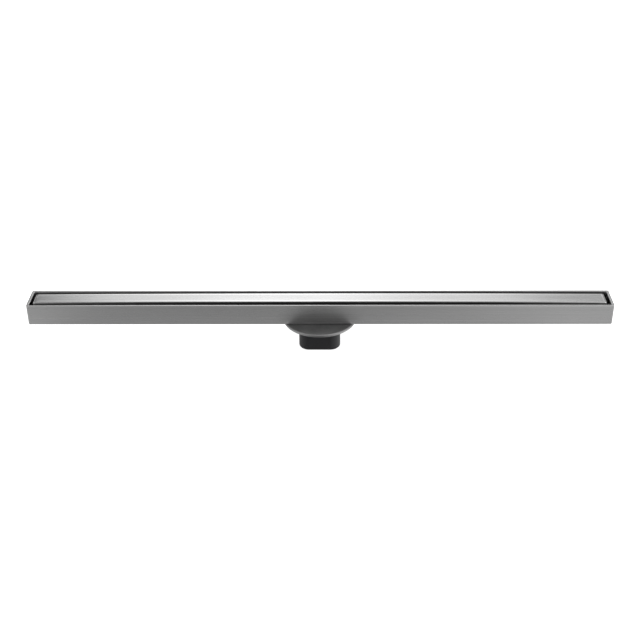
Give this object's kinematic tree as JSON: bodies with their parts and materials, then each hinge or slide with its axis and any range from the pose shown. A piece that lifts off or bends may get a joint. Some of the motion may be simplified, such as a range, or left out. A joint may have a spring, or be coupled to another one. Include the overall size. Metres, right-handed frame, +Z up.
{
  "type": "linear floor drain",
  "caption": "Long narrow steel floor drain: shallow trough, loose solid cover plate with a slot all round, round flange and black rounded-square outlet with a pipe socket.",
  "frame": {"origin": "on the outlet's axis, in the flat bottom face of the outlet housing, which is also the middle of the trough", "axes": "+X along the trough, +Y to the back (away from the viewer of the picture), +Z up to the cover plate"},
  "size_m": [0.9, 0.1128, 0.0765],
  "materials": {
    "trough_steel": "brushed along the length",
    "plate_steel": "brushed along the length, brighter",
    "flange_steel": "dull pressed, satin",
    "pressed_steel": "mill finish",
    "screw_steel": "bright",
    "black_plastic": "satin moulded",
    "black_rubber": "matte"
  },
  "bodies": {
    "root": {"channel_trough": "trough_steel", "cover_plate": "plate_steel", "outlet_flange": "flange_steel", "outlet_housing": "black_plastic", "hair_strainer": "pressed_steel", "flange_gasket": "black_rubber", "pipe_seal": "black_rubber", "weld_nuts": "screw_steel", "housing_screws": "screw_steel", "plate_leg_1": "pressed_steel", "leg_pad_1": "black_rubber", "plate_leg_2": "pressed_steel", "leg_pad_2": "black_rubber", "plate_leg_3": "pressed_steel", "leg_pad_3": "black_rubber", "plate_leg_4": "pressed_steel", "leg_pad_4": "black_rubber"}
  },
  "joints": []
}
